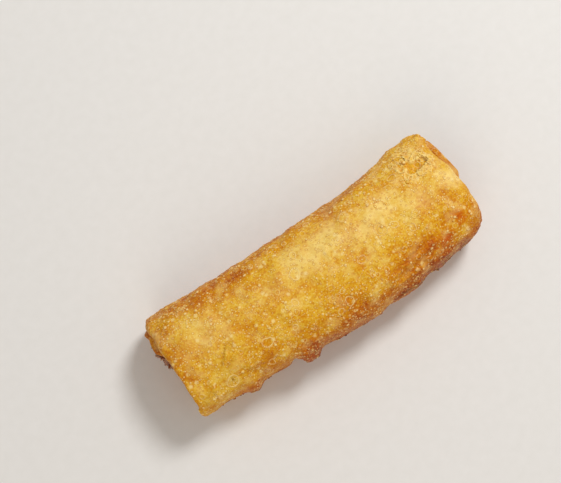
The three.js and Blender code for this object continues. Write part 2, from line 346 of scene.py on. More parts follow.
def add_bubble(row, column, radius, height, is_ring):
    """Raise one bubble at that place on the grid. Only the rows and columns near it are touched."""
    reach_rows = int(radius / ROW_STEP) + 2
    reach_columns = int(radius / COLUMN_STEP) + 2
    r0, r1 = max(row - reach_rows, 0), min(row + reach_rows + 1, len(rows))
    c = (column + np.arange(-reach_columns, reach_columns + 1)) % COLUMNS
    away = np.linalg.norm(flat[r0:r1][:, c] - flat[row, column], axis=-1) / radius
    window = np.ix_(np.arange(r0, r1), c)
    if is_ring:
        rim = np.exp(-(((away - 0.8) / 0.17) ** 2))
        ring_height[window] = np.maximum(ring_height[window], height * rim)
        ring_share[window] = np.maximum(ring_share[window], rim)
    else:
        cap = np.clip(1 - away**2, 0, 1)
        dome_height[window] = np.maximum(dome_height[window], height * cap)
        dome_share[window] = np.maximum(dome_share[window], cap)


crowding = 0.35 + 0.5 * smooth(np.abs(flat[..., 1] - 0.5), 6, 16) + 0.25 * rough(flat, 10, 51)
crowding = np.clip(crowding, 0.08, 1)
cell = np.linalg.norm(np.cross(np.gradient(flat, axis=0), np.gradient(flat, axis=1)), axis=-1)
chance = (crowding * cell * (flat[..., 2] > 1)).ravel()
chance /= chance.sum()
for spot in random.choice(chance.size, 110, replace=False, p=chance):
    size = random.uniform(0.55, 0.9)
    add_bubble(spot // COLUMNS, spot % COLUMNS, size, random.uniform(0.14, 0.24), False)
ring_list = []
for spot in random.choice(chance.size, 90, replace=False, p=chance):
    size = random.uniform(0.7, 1.3)
    ring_list.append((spot // COLUMNS, spot % COLUMNS, size, random.uniform(0.10, 0.16)))


def nearest(px, py):
    """The row and column of the skin's point nearest to px, py, seen from above."""
    away = np.hypot(flat[..., 0] - px, flat[..., 1] - py) + 100 * ~on_top
    return np.unravel_index(np.argmin(away), away.shape)


for px, py, size, height in [
    (23.2, 0.2, 2.2, 0.34),
    (23.2, 0.2, 1.1, 0.26),
    (31.9, -4.5, 1.2, 0.18),
    (34.5, -1.6, 1.3, 0.2),
    (13.4, -4.1, 1.5, 0.18),
    (-38.8, -12.6, 2.3, 0.22),
    (35.1, 11.5, 1.7, 0.2),
    (33.3, 15.4, 2.2, 0.14),
    (27.4, 6.4, 2.0, 0.14),
    (-6.0, 3.5, 1.9, 0.12),
    (3.5, -12.4, 1.6, 0.16),
    (-24.0, -9.0, 1.8, 0.12),
    (16.0, 9.6, 1.7, 0.13),
]:
    ring_list.append((*nearest(px, py), size, height))
for row, column, size, height in ring_list:
    add_bubble(row, column, size * 1.1, 0.04, True)

puff = dome_height + ring_height
push = (push + puff) * (1 - 0.5 * fold_depth)
skin_points = skin_points + normals * push[..., None]

# The underside lies a hair above the floor, and the mouth's lower lip keeps its thickness there.
FLOOR_CLEARANCE = 0.04
LIP_THICK = 0.6
floor_height = 0.12 + 0.10 * rough(flat, 6, 61) + 0.05 * rough(flat, 2.2, 62)
lip_height = LIP_THICK * smooth(normals[..., 2], -0.4, 0.4)
lowest = np.maximum(floor_height, FLOOR_CLEARANCE) + lip_height
skin_points[..., 2] = np.maximum(skin_points[..., 2], lowest)

# Behind the left end's folds the sheet runs into the mouth, and inside it lines the cavity.
MOUTH = {"y": 5.6, "z": 11.6, "wide": 5.0, "tall": 3.8, "sunk": 1.8, "depth": 2.6}
WALL = 2.7
END_WALL = 5
TAPER = 2.5
last_angle = angle[-1]
mouth_y = MOUTH["y"] + MOUTH["wide"] * np.cos(last_angle)
mouth_z = MOUTH["z"] + MOUTH["tall"] * np.sin(last_angle)
mouth_edge = np.stack([np.full(COLUMNS, LEFT["x"] + MOUTH["sunk"]), mouth_y, mouth_z], -1)
mouth_rows = []
for share in (0.2, 0.4, 0.6, 0.8, 0.95):
    ring = skin_points[-1] * (1 - share) + mouth_edge * share
    wave = rough(ring, 2.5, 71) * 0.3 + rough(ring, 1.2, 72) * 0.12
    ring[:, 0] += wave - 0.5 * math.sin(share * math.pi)
    mouth_rows.append(ring)
mouth_inner = mouth_edge + np.array([MOUTH["depth"], 0, 0])
cavity_rows = []
cavity_start, cavity_stop = LEFT["x"] + END_WALL, RIGHT["x"] - END_WALL
for cx, extra in [
    (cavity_start, TAPER),
    (cavity_start + TAPER, 0),
    (-20, 0),
    (5, 0),
    (30, 0),
    (cavity_stop - TAPER, 0),
    (cavity_stop, TAPER),
]:
    cy, cz = section_point(np.full(COLUMNS, cx), last_angle, WALL + extra)
    cavity_rows.append(np.stack([np.full(COLUMNS, cx), cy, np.maximum(cz, WALL + extra)], -1))
all_rows = np.concatenate([skin_points, np.array([*mouth_rows, mouth_edge, mouth_inner, *cavity_rows])])


def mesh_piece(name, points, faces, values):
    """A smooth mesh from points in millimetres, with a value for each point by name."""
    mesh = bpy.data.meshes.new(name)
    mesh.from_pydata((np.asarray(points) * MM).tolist(), [], faces)
    for key, value in values.items():
        layer = mesh.attributes.new(key, "FLOAT", "POINT")
        layer.data.foreach_set("value", np.asarray(value, dtype=np.float32))
    mesh.polygons.foreach_set("use_smooth", [True] * len(mesh.polygons))
    mesh.update()
    shown = bpy.data.objects.new(name, mesh)
    bpy.context.scene.collection.objects.link(shown)
    return shown


def closed_mesh(name, grid, values):
    """A closed mesh from rings of points, with a value for each point by name."""
    count, around = grid.shape[:2]
    caps = np.array([grid[0].mean(0), grid[-1].mean(0)])
    points = np.concatenate([grid.reshape(-1, 3), caps])
    r, c = np.meshgrid(np.arange(count - 1), np.arange(around), indexing="ij")
    a = (r * around + c).ravel()
    b = (r * around + (c + 1) % around).ravel()
    faces = np.stack([b, a, a + around, b + around], 1).tolist()
    first, last = count * around, count * around + 1
    for i in range(around):
        j = (i + 1) % around
        faces.append([i, j, first])
        faces.append([(count - 1) * around + j, (count - 1) * around + i, last])
    full = {key: [*value.ravel(), value[0].mean(), value[-1].mean()] for key, value in values.items()}
    return mesh_piece(name, points, faces, full)


# How brown each point is: edges, folds and the low side most, with patches where oil was hottest. Parts of
# the long edges' brown, and the brown in dents, are painted shade and shadow.
fx, fy, fz = flat[..., 0], flat[..., 1], flat[..., 2]
frayed = (1 + 0.25 * rough(flat, 3, 81) + 0.15 * rough(flat, 1.3, 82)).clip(0.3)


def patch(px, py, wide, tall, slant):
    """A frayed patch on the skin, 1 at its middle."""
    ax, ay = fx - px, fy - py
    u = ax * math.cos(slant) + ay * math.sin(slant)
    v = ay * math.cos(slant) - ax * math.sin(slant)
    return np.exp(-((u / wide) ** 2 + (v / tall) ** 2) * frayed) * (normals[..., 2] > -0.3)


def soft_patch(px, py, wide, tall):
    """A patch without a ragged edge, right through the roll from above."""
    return np.exp(-(((fx - px) / wide) ** 2) - ((fy - py) / tall) ** 2)


brown = 0.32 + 0.05 * rough(flat, 16, 83) + 0.04 * rough(flat, 5, 84) * smooth(fz, 6, 20)
brown += 0.03 * rough(flat, 2, 85)
brown += 0.05 * smooth(fx, 0, -45) * smooth(fy, 14, 2) - 0.06 * smooth(fx, -30, -48) * smooth(fy, -2, -10)
low_side = 0.13 * smooth(fy, -3, -14) + 0.15 * smooth(fy, -13, -19)
brown += low_side * (0.75 * smooth(fx, -46, -12) + 0.5 * smooth(fx, 15, 42))
# The high long edge is browner, most from the left end to the middle: partly browning, partly a painted
# shadow cast over it.
high_edge_brown_and_shadow = (0.20 + 0.04 * rough(flat, 12, 86)) * smooth(fy, 7, 17)
brown += high_edge_brown_and_shadow * (1 - 0.75 * smooth(fx, 18, 38)) * (1 - 0.5 * smooth(fx, -38, -48))
brown += (0.10 + 0.03 * rough(flat, 10, 87)) * smooth(fz, 13, 3)
brown += fold_depth * (0.12 + 0.05 * smooth(fy, 1, 6))
# The very edge of the low side is browner, partly browning and partly painted shade. The low right corner
# is browner still.
brown += 0.16 * smooth(fy, -14.5, -17.5) + 0.12 * smooth(fx, 34, 46) * smooth(fy, -11, -16)
brown += 0.07 * np.exp(-(((fx + 51.8) / 1.8) ** 2)) + 0.16 * smooth(fx, 42, 54) * smooth(fy, -2, -12)
brown += (0.30 * lobe + 0.10 * small_lobe) * (0.6 + 0.6 * puckers) * skin_share
brown += 0.25 * smooth(turn, 0.985, 1) * skin_share
# Painted shade: the skin is a little browner where it dips in.
brown += 0.06 * smooth(-push, 0.02, 0.35) * (1 - hole)

# Frayed patches: the middle, the half width and height, the slant, and how much browner, how much
# more burnt or how much paler it is.
for *where, amount in [
    (46.0, -9.6, 2.4, 2.0, 0.0, 0.18),
    (39.2, -12.6, 2.4, 1.7, 0.4, 0.20),
    (33.9, -11.6, 2.8, 1.0, 0.2, 0.16),
    (-42.0, 16.0, 4.0, 2.2, 0.0, 0.16),
    (-1.0, -2.5, 2.2, 3.6, 0.3, 0.06),
    (-26.0, 12.0, 10.0, 4.0, 0.0, 0.08),
]:
    brown += amount * patch(*where)
burnt = 0.5 * lobe * (0.5 + 0.5 * puckers) * skin_share
for *where, amount in [
    (46.0, -9.6, 2.6, 2.1, 0.0, 0.8),
    (39.2, -12.6, 2.6, 1.7, 0.4, 0.95),
    (33.9, -11.6, 2.6, 1.0, 0.2, 0.4),
]:
    burnt += amount * patch(*where)
pale = 0.24 * smooth(rough(flat, 5, 88), 0.3, 1.8) * on_top
for *where, amount in [
    # The first two patches are partly paler pastry and partly painted highlight.
    (27.1, 6.5, 6.0, 3.4, 0.3, 0.6),
    (50.5, 2.0, 3.4, 3.2, 0.0, 0.7),
    (4.0, 7.0, 10.0, 4.5, 0.2, 0.5),
    (16.0, 3.0, 10.0, 5.0, 0.0, 0.35),
    (38.0, 2.0, 7.0, 4.0, 0.0, 0.30),
    (-50.5, 11.5, 1.2, 3.0, 0.0, 0.4),
    (-38.0, 4.0, 8.0, 6.0, 0.0, 0.3),
    (-12.0, 3.0, 12.0, 5.0, 0.0, 0.15),
]:
    pale += amount * patch(*where)

# Broad changes with soft edges: the middle, the half width and height, and how much browner.
for *where, amount in [
    (-2.0, 1.0, 22.0, 6.0, -0.06),
    (38.0, 2.0, 7.0, 4.0, -0.06),
    (-10.0, -9.5, 6.0, 3.5, -0.06),
    (28.0, -11.0, 12.0, 4.0, 0.07),
    (-30.0, -5.0, 7.0, 4.0, 0.05),
    (25.0, -14.0, 12.0, 3.0, 0.06),
]:
    brown += amount * soft_patch(*where)
pale *= 1 - 0.7 * soft_patch(-30.0, -4.0, 6.0, 4.0)

# The broken blister is paler than the skin round it, most at its rims, and its holes show new sheet.
BLISTER_BROWN = 0.16
HOLE_BROWN = 0.34
pale = pale * (1 - hole) + 0.75 * hole_rim + 0.55 * plate_edge * (1 - hole)
brown += blistered * (BLISTER_BROWN - 0.45 * brown)
brown += hole * (HOLE_BROWN - brown)
# Painted shade, darkening the skin towards a dark brown: under the seam's free edge, in the creases'
# grooves, in the pit, deep in the end folds, and all over the mouth and cavity inside.
painted_crevice_shade = 0.8 * smooth(turn, 0.018, 0.0) * skin_share * (1 - 0.7 * small_lobe) + 0.7 * painted_groove_shade + 0.9 * pit
painted_crevice_shade = painted_crevice_shade + 0.5 * smooth(inset, 2.2, 3.0) * smooth(row_rise, 1.2, 0.2)
bubbles = np.clip(0.5 * dome_share + 0.42 * ring_share, 0, 1)
extra_rows = len(all_rows) - len(skin_points)


def with_inside(value, inside):
    """The skin's values, with the same value all over the mouth and the cavity."""
    return np.concatenate([value, np.full((extra_rows, COLUMNS), inside)])


wrapper = closed_mesh(
    "fried_wrapper",
    all_rows,
    {
        "brown": with_inside(brown.clip(0, 0.84), 0.5),
        "pale": with_inside(pale.clip(0, 1), 0.0),
        "bubble": with_inside(bubbles, 0.0),
        "painted_crevice_shade": with_inside(painted_crevice_shade.clip(0, 1), 0.6),
        "burnt": with_inside(burnt.clip(0, 1), 0.0),
    },
)


def linear(red, green, blue):
    """A colour given as it looks, 0 to 255, as the light it returns."""
    shown = np.array([red, green, blue]) / 255
    return (*np.where(shown <= 0.04045, shown / 12.92, ((shown + 0.055) / 1.055) ** 2.4), 1)


def new_material(name):
    """A new material, its node tree and its surface shader."""
    material = bpy.data.materials.new(name)
    material.use_nodes = True
    return material, material.node_tree, material.node_tree.nodes["Principled BSDF"]


def add_node(tree, kind, settings=(), inputs=()):
    """A node with its settings, and with each input set to a value or joined to a socket."""
    node = tree.nodes.new(kind)
    for key, value in dict(settings).items():
        setattr(node, key, value)
    for key, value in dict(inputs).items():
        if isinstance(value, bpy.types.NodeSocket):
            tree.links.new(value, node.inputs[key])
        else:
            node.inputs[key].default_value = value
    return node


def value_of(tree, name):
    """The value that the mesh carries at each point under that name."""
    return add_node(tree, "ShaderNodeAttribute", {"attribute_name": name}).outputs["Fac"]


def maths(tree, operation, *values):
    return add_node(tree, "ShaderNodeMath", {"operation": operation}, enumerate(values)).outputs[0]


def mix_colours(tree, share, first, second):
    """The first colour, going over to the second as share goes from 0 to 1."""
    mixer = add_node(tree, "ShaderNodeMix", {"data_type": "RGBA"}, {0: share, 6: first, 7: second})
    return mixer.outputs[2]


def band(tree, value, start, stop, low=0.0, high=1.0):
    """A smooth step from low to high as the value goes from start to stop."""
    keys = {"Value": value, "From Min": start, "From Max": stop, "To Min": low, "To Max": high}
    return add_node(tree, "ShaderNodeMapRange", {"interpolation_type": "SMOOTHSTEP"}, keys).outputs[0]


material, tree, surface = new_material("fried_pastry")
place = add_node(tree, "ShaderNodeTexCoord").outputs["Object"]
mottle = add_node(tree, "ShaderNodeTexNoise", (), {"Vector": place, "Scale": 420.0, "Detail": 4.0})
speckle = add_node(tree, "ShaderNodeTexNoise", (), {"Vector": place, "Scale": 1700.0, "Detail": 2.0})
browned = maths(tree, "ADD", value_of(tree, "brown"), band(tree, mottle.outputs[0], 0.2, 0.8, -0.05, 0.05))
browned = maths(tree, "ADD", browned, band(tree, speckle.outputs[0], 0.3, 0.7, -0.11, 0.11))
ramp = add_node(tree, "ShaderNodeValToRGB", (), {"Fac": browned})
ramp.color_ramp.elements[0].position = 0.0
ramp.color_ramp.elements[0].color = linear(240, 206, 104)
ramp.color_ramp.elements[1].position = 1.0
ramp.color_ramp.elements[1].color = linear(122, 50, 14)
for position, colour in [
    (0.26, (231, 180, 48)),
    (0.44, (218, 148, 16)),
    (0.62, (200, 114, 13)),
    (0.80, (172, 80, 14)),
]:
    element = ramp.color_ramp.elements.new(position)
    element.color = linear(*colour)
burnt_share = maths(tree, "MULTIPLY", value_of(tree, "burnt"), 0.7)
colour = mix_colours(tree, burnt_share, ramp.outputs[0], linear(208, 92, 14))
colour = mix_colours(tree, value_of(tree, "pale"), colour, linear(255, 224, 138))
# Paler over the meshed blisters, beads and rims: partly their thin skin, partly painted highlight.
bubble_share = band(tree, value_of(tree, "bubble"), 0.05, 0.95, 0.0, 0.8)
colour = mix_colours(tree, bubble_share, colour, linear(255, 229, 160))


def chosen_cells(scale, shuffle, share, vector):
    """How far each place is from the middle of its cell, and 1 in the chosen share of the cells."""
    cells = add_node(tree, "ShaderNodeTexVoronoi", (), {"Vector": vector, "Scale": scale})
    pick = maths(tree, "FRACT", maths(tree, "MULTIPLY", cells.outputs["Color"], shuffle))
    return cells.outputs["Distance"], maths(tree, "LESS_THAN", pick, share)


# Blisters too small to be worth a mesh: two sizes of dots, thin rings, and blurred cream spots. Their pale
# colour is partly the blisters' thin skin and partly painted highlight.
clumps = add_node(tree, "ShaderNodeTexNoise", (), {"Vector": place, "Scale": 110.0})
crowd = band(tree, clumps.outputs[0], 0.35, 0.6)
coarse_away, coarse_kept = chosen_cells(1050.0, 7.3, 0.42, place)
coarse = maths(tree, "MULTIPLY", band(tree, coarse_away, 0.36, 0.16), coarse_kept)
coarse = maths(tree, "MULTIPLY", coarse, band(tree, crowd, 0.0, 1.0, 0.45, 1.0))
# Painted shade: a darker ring round each coarse dot, where its sides would fall into shade.
painted_dot_shade = maths(tree, "MULTIPLY", band(tree, coarse_away, 0.58, 0.36), coarse_kept)
fine_away, fine_kept = chosen_cells(1750.0, 7.3, 0.5, place)
fine = maths(tree, "MULTIPLY", band(tree, fine_away, 0.42, 0.14), fine_kept)
small_dome = maths(tree, "MAXIMUM", coarse, maths(tree, "MULTIPLY", fine, 0.6))
ring_middle, ring_kept = chosen_cells(300.0, 5.1, 0.3, place)
ring_away = maths(tree, "ABSOLUTE", maths(tree, "SUBTRACT", ring_middle, 0.30))
thin_ring = maths(tree, "MULTIPLY", band(tree, ring_away, 0.055, 0.0), ring_kept)
wander = add_node(tree, "ShaderNodeTexNoise", (), {"Vector": place, "Scale": 1400.0})
wavering = add_node(
    tree, "ShaderNodeMix", {"data_type": "VECTOR"}, {0: 0.0006, 4: place, 5: wander.outputs["Color"]}
)
cream_away, cream_kept = chosen_cells(430.0, 3.7, 0.30, wavering.outputs[1])
cream_spot = maths(tree, "MULTIPLY", band(tree, cream_away, 0.36, 0.12), cream_kept)

# Where the pastry is browned its dots are browned too, so they stand out less.
dot_share = band(tree, value_of(tree, "brown"), 0.36, 0.70, 1.0, 0.5)
cream_share = maths(tree, "MULTIPLY", maths(tree, "MULTIPLY", cream_spot, 0.62), dot_share)
small_share = maths(tree, "MULTIPLY", maths(tree, "MULTIPLY", small_dome, 0.8), dot_share)
for share, tint in [
    (cream_share, (255, 230, 158)),
    (maths(tree, "MULTIPLY", painted_dot_shade, 0.40), (188, 108, 10)),
    (small_share, (255, 228, 146)),
    (maths(tree, "MULTIPLY", thin_ring, 0.40), (253, 224, 142)),
    # painted shade in crevices
    (maths(tree, "MULTIPLY", value_of(tree, "painted_crevice_shade"), 0.6), (92, 36, 10)),
]:
    colour = mix_colours(tree, share, colour, linear(*tint))
relief = maths(tree, "MULTIPLY", small_dome, 0.15)
for pattern, height in [(speckle.outputs[0], 0.4), (mottle.outputs[0], 0.8), (thin_ring, 0.35)]:
    relief = maths(tree, "ADD", relief, maths(tree, "MULTIPLY", pattern, height))
bump = add_node(tree, "ShaderNodeBump", (), {"Height": relief, "Strength": 0.6, "Distance": 0.00016})
sheen = band(tree, mottle.outputs[0], 0.3, 0.7, 0.38, 0.54)
tree.links.new(colour, surface.inputs["Base Color"])
tree.links.new(sheen, surface.inputs["Roughness"])
tree.links.new(bump.outputs[0], surface.inputs["Normal"])
surface.inputs["IOR"].default_value = 1.34
surface.inputs["Specular IOR Level"].default_value = 0.20
wrapper.data.materials.append(material)
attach(wrapper, "root")
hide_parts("wrapper")


# ---- The beads ----
# Tiny blisters that the hot oil has blown up out of the sheet, most of them along the long edges.
# Each is a low closed dome, sunk a little into the skin it grows from.

BEAD_SIDES = 9
BEADS = 3400
settled = outward(skin_points)
bead_levels = np.array([[1.05, -0.7], [0.9, 0.35], [0.55, 0.86], [0.0, 1.0]])
bead_turn = np.linspace(0, 2 * math.pi, BEAD_SIDES, endpoint=False)
bead_shape = []
for wide, tall in bead_levels[:-1]:
    bead_shape += [(wide * math.cos(t), wide * math.sin(t), tall) for t in bead_turn]
bead_shape = np.array([*bead_shape, (0, 0, 1)])
bead_faces = []
for level in range(2):
    for i in range(BEAD_SIDES):
        a, b = level * BEAD_SIDES + i, level * BEAD_SIDES + (i + 1) % BEAD_SIDES
        bead_faces.append((a, b, b + BEAD_SIDES, a + BEAD_SIDES))
last_ring, top = 2 * BEAD_SIDES, 3 * BEAD_SIDES
bead_faces += [(last_ring + i, last_ring + (i + 1) % BEAD_SIDES, top) for i in range(BEAD_SIDES)]
bead_faces.append(tuple(reversed(range(BEAD_SIDES))))

bead_crowd = 0.22 + 0.9 * smooth(np.abs(fy - 0.3), 7, 17) + 0.30 * rough(flat, 9, 101)
bead_crowd = bead_crowd + 0.15 * smooth(fx, 30, 45)
bead_crowd = bead_crowd + 0.25 * smooth(fx, -35, -48) + 0.4 * blistered
bead_chance = np.clip(bead_crowd, 0.05, 1.2) * cell * smooth(fz, 1.0, 9.0) * skin_share
bead_chance = (bead_chance * (1 - hole)).ravel()
bead_spots = random.choice(bead_chance.size, BEADS, replace=False, p=bead_chance / bead_chance.sum())
bead_at = skin_points.reshape(-1, 3)[bead_spots]
bead_up = settled.reshape(-1, 3)[bead_spots]
bead_side = np.cross(bead_up, [1.0, 0, 0])
bead_side /= np.linalg.norm(bead_side, axis=-1, keepdims=True)
bead_ahead = np.cross(bead_side, bead_up)
bead_wide = random.gamma(5, 0.058, (BEADS, 1, 1)).clip(0.17, 0.60)
bead_long = bead_wide * random.uniform(0.85, 1.25, (BEADS, 1, 1))
bead_tall = bead_wide * random.uniform(0.24, 0.44, (BEADS, 1, 1))
u, v, w = (bead_shape[None, :, k, None] for k in range(3))
bead_points = bead_at[:, None] + bead_long * u * bead_ahead[:, None] + bead_wide * v * bead_side[:, None]
bead_points = bead_points + bead_tall * w * bead_up[:, None]
faces = []
for number in range(BEADS):
    base = number * len(bead_shape)
    faces += [tuple(base + k for k in face) for face in bead_faces]
# Each bead is paler towards its top: partly its thinner skin, partly painted highlight.
bead_pale_and_highlight = random.uniform(0.3, 0.95, (BEADS, 1)) * np.clip(bead_shape[None, :, 2], 0, 1)
bead_brown = brown.ravel()[bead_spots][:, None] + 0.05 * (1 - np.clip(bead_shape[None, :, 2], 0, 1))
beads = mesh_piece(
    "fried_beads",
    bead_points.reshape(-1, 3),
    faces,
    {
        "brown": bead_brown.ravel().clip(0, 1),
        "pale": (0.15 * bead_pale_and_highlight).ravel(),
        "bubble": bead_pale_and_highlight.ravel(),
        "painted_crevice_shade": np.zeros(BEADS * len(bead_shape)),
    },
)
beads.data.materials.append(material)
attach(beads, "root")


# ---- The ring blisters ----
# Larger blisters whose tops have sunk back, so that only a thin raised rim is left on the skin.
# Each rim is a closed ring of pastry that follows the skin and is sunk a little into it.

quads = []
for r in range(len(skin_points) - 1):
    for c in range(COLUMNS):
        d = (c + 1) % COLUMNS
        quads.append((r * COLUMNS + d, r * COLUMNS + c, (r + 1) * COLUMNS + c, (r + 1) * COLUMNS + d))
skin_tree = BVHTree.FromPolygons(skin_points.reshape(-1, 3).tolist(), quads)


def on_skin(point):
    """The nearest place on the skin, the way out from it, and how brown it is there."""
    place_there, normal, index, _ = skin_tree.find_nearest(point)
    return np.array(place_there), np.array(normal), brown[index // COLUMNS, index % COLUMNS]


RING_STEPS = 22
rim_section = [(-1.0, -0.7), (-0.6, 0.5), (0.0, 0.8), (0.6, 0.5), (1.0, -0.7)]
points, faces, browns, lights = [], [], [], []
for row, column, size, tallest in ring_list:
    centre, up = skin_points[row, column], settled[row, column]
    side = np.cross(up, [1.0, 0, 0])
    side /= np.linalg.norm(side)
    ahead = np.cross(side, up)
    wobble = random.uniform(0, 2 * math.pi, 3)
    start = len(points)
    rim_pale_and_highlight = random.uniform(0.45, 0.85)
    for k in range(RING_STEPS):
        t = 2 * math.pi * k / RING_STEPS
        height = tallest * (0.55 + 0.3 * math.sin(t + wobble[2]))
        uneven = 0.13 * math.sin(2 * t + wobble[0]) + 0.07 * math.sin(3 * t + wobble[1])
        reach = size * (0.88 + uneven)
        outwards = math.cos(t) * ahead + math.sin(t) * side
        there, normal, local_brown = on_skin(centre + reach * outwards)
        thick = 0.18 * (1 + 0.35 * math.sin(2 * t + wobble[2])) * (0.7 + 0.25 * size)
        for across, tall in rim_section:
            points.append(there + thick * across * outwards + height * tall * normal)
            browns.append(local_brown)
            # Each rim is paler towards its crest: partly thinner skin, partly painted highlight.
            lights.append(rim_pale_and_highlight * max(tall, 0.2) / 0.8)
    sides = len(rim_section)
    for k in range(RING_STEPS):
        here, ahead_of_it = start + k * sides, start + (k + 1) % RING_STEPS * sides
        for m in range(sides):
            n = (m + 1) % sides
            faces.append((here + m, here + n, ahead_of_it + n, ahead_of_it + m))
still = np.zeros(len(points))
rings = mesh_piece(
    "ring_blisters", points, faces, {"brown": browns, "pale": still, "bubble": lights, "painted_crevice_shade": still}
)
rings.data.materials.append(material)
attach(rings, "root")


# ---- The flakes ----
# Scraps of the broken blister's top skin: thin, crisp and pale, still fixed at their middles, with
# ragged edges that curl up round the holes. A few more lie loose near the left end's high corner.

FLAKE_AROUND = 26
FLAKE_THICK = 0.11
flake_levels = [0.0, 0.4, 0.7, 0.88, 1.0]
flake_list = []
wide_holes = HOLES[:2]
for hole_x, hole_y, hole_size in wide_holes:
    for way in np.arange(0, 2 * math.pi, 0.72):
        reach = hole_size + 0.3 + random.uniform(0.75, 1.3)
        px, py = hole_x + reach * math.cos(way), hole_y + reach * math.sin(way)
        clear = min(math.hypot(px - hx, py - hy) - size for hx, hy, size in wide_holes)
        if clear > 0.35:
            size = min(random.uniform(0.9, 1.5), clear + 0.55)
            flake_list.append((px, py, size, random.uniform(0.05, 0.14)))
for _ in range(14):
    way, reach = random.uniform(0, 2 * math.pi), random.uniform(4.0, 6.2)
    px, py = BLISTER[0] + reach * math.cos(way), BLISTER[1] + reach * math.sin(way)
    flake_list.append((px, py, random.uniform(0.7, 1.3), 0.10))
for _ in range(5):
    px, py = random.uniform(-45, -38), random.uniform(14.0, 17.0)
    flake_list.append((px, py, random.uniform(0.45, 0.9), 0.2))
points, faces, browns, pales = [], [], [], []
for px, py, size, curl in flake_list:
    row, column = nearest(px, py)
    centre, up = skin_points[row, column], settled[row, column]
    side = np.cross(up, [1.0, 0, 0])
    side /= np.linalg.norm(side)
    ahead = np.cross(side, up)
    wobble = random.uniform(0, 2 * math.pi, 4)
    start = len(points)
    for is_top in (True, False):
        for level in flake_levels[1:]:
            for k in range(FLAKE_AROUND):
                t = 2 * math.pi * k / FLAKE_AROUND
                ragged = 0.20 * math.sin(3 * t + wobble[0]) + 0.14 * math.sin(5 * t + wobble[1])
                ragged += 0.08 * math.sin(9 * t + wobble[2])
                outwards = math.cos(t) * ahead + math.sin(t) * side
                there, normal, local_brown = on_skin(centre + size * level * (1 + ragged) * outwards)
                lift = curl * level**2 * (0.65 + 0.35 * math.sin(2 * t + wobble[3])) + 0.05
                thick = FLAKE_THICK * (1 - 0.6 * level**3)
                points.append(there + normal * (lift if is_top else lift - thick))
                browns.append(local_brown + 0.02)
                pales.append(0.15 + 0.80 * level**2)
        points.append(centre + up * (0.05 if is_top else 0.05 - FLAKE_THICK))
        browns.append(brown[row, column])
        pales.append(0.10)
    levels = len(flake_levels) - 1
    below = start + levels * FLAKE_AROUND + 1
    for k in range(FLAKE_AROUND):
        n = (k + 1) % FLAKE_AROUND
        faces.append((start + k, start + n, start + levels * FLAKE_AROUND))
        faces.append((below + n, below + k, below + levels * FLAKE_AROUND))
        for level in range(levels - 1):
            a, b = start + level * FLAKE_AROUND + k, start + level * FLAKE_AROUND + n
            faces.append((a, a + FLAKE_AROUND, b + FLAKE_AROUND, b))
            a, b = below + level * FLAKE_AROUND + k, below + level * FLAKE_AROUND + n
            faces.append((a, b, b + FLAKE_AROUND, a + FLAKE_AROUND))
        outer = (levels - 1) * FLAKE_AROUND
        faces.append((start + outer + n, start + outer + k, below + outer + k, below + outer + n))
still = np.zeros(len(points))
flakes = mesh_piece(
    "blister_flakes", points, faces, {"brown": browns, "pale": pales, "bubble": still, "painted_crevice_shade": still}
)
flakes.data.materials.append(material)
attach(flakes, "root")


# ---- The filling ----
# Shredded vegetables and a little minced meat, cooked brown and packed tight by the rolling. It
# runs the whole length of the roll, and only its rough end shows, in the mouth of the left end.

FIT_GAP = 0.35
AROUND_FILLING = 72
SET_BACK = 1.6
filling_low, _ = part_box("filling")
front_x = filling_low.x / MM + SET_BACK
core_angle = np.linspace(0, 2 * math.pi, AROUND_FILLING, endpoint=False)
core_rows = []
for share, back in [(0.15, 0.0), (0.5, 0.1), (0.8, 0.4), (0.97, 1.0)]:
    cy = MOUTH["y"] + (MOUTH["wide"] - FIT_GAP) * share * np.cos(core_angle)
    cz = MOUTH["z"] + (MOUTH["tall"] - FIT_GAP) * share * np.sin(core_angle)
    ring = np.stack([np.full(AROUND_FILLING, front_x + back), cy, cz], -1)
    ring[:, 0] += 0.35 * rough(ring, 1.6, 91) + 0.2 * rough(ring, 0.8, 92)
    core_rows.append(ring)
neck_x = LEFT["x"] + MOUTH["sunk"] + MOUTH["depth"] + FIT_GAP
cy = MOUTH["y"] + (MOUTH["wide"] - FIT_GAP) * np.cos(core_angle)
cz = MOUTH["z"] + (MOUTH["tall"] - FIT_GAP) * np.sin(core_angle)
core_rows.append(np.stack([np.full(AROUND_FILLING, neck_x), cy, cz], -1))
inner = WALL + FIT_GAP
core_start, core_stop = cavity_start + FIT_GAP, cavity_stop - FIT_GAP
core_x = np.linspace(core_start + TAPER, core_stop - TAPER, 40)
for cx, extra in [(core_start, TAPER), *[(x_there, 0) for x_there in core_x], (core_stop, TAPER)]:
    cy, cz = section_point(np.full(AROUND_FILLING, cx), core_angle, inner + extra)
    ring = np.stack([np.full(AROUND_FILLING, cx), cy, np.maximum(cz, inner + extra)], -1)
    core_rows.append(ring)
core_grid = np.array(core_rows)[::-1]
core_tone = 0.5 + 0.3 * rough(core_grid, 3, 93)
core = closed_mesh("filling_core", core_grid, {"tone": core_tone})

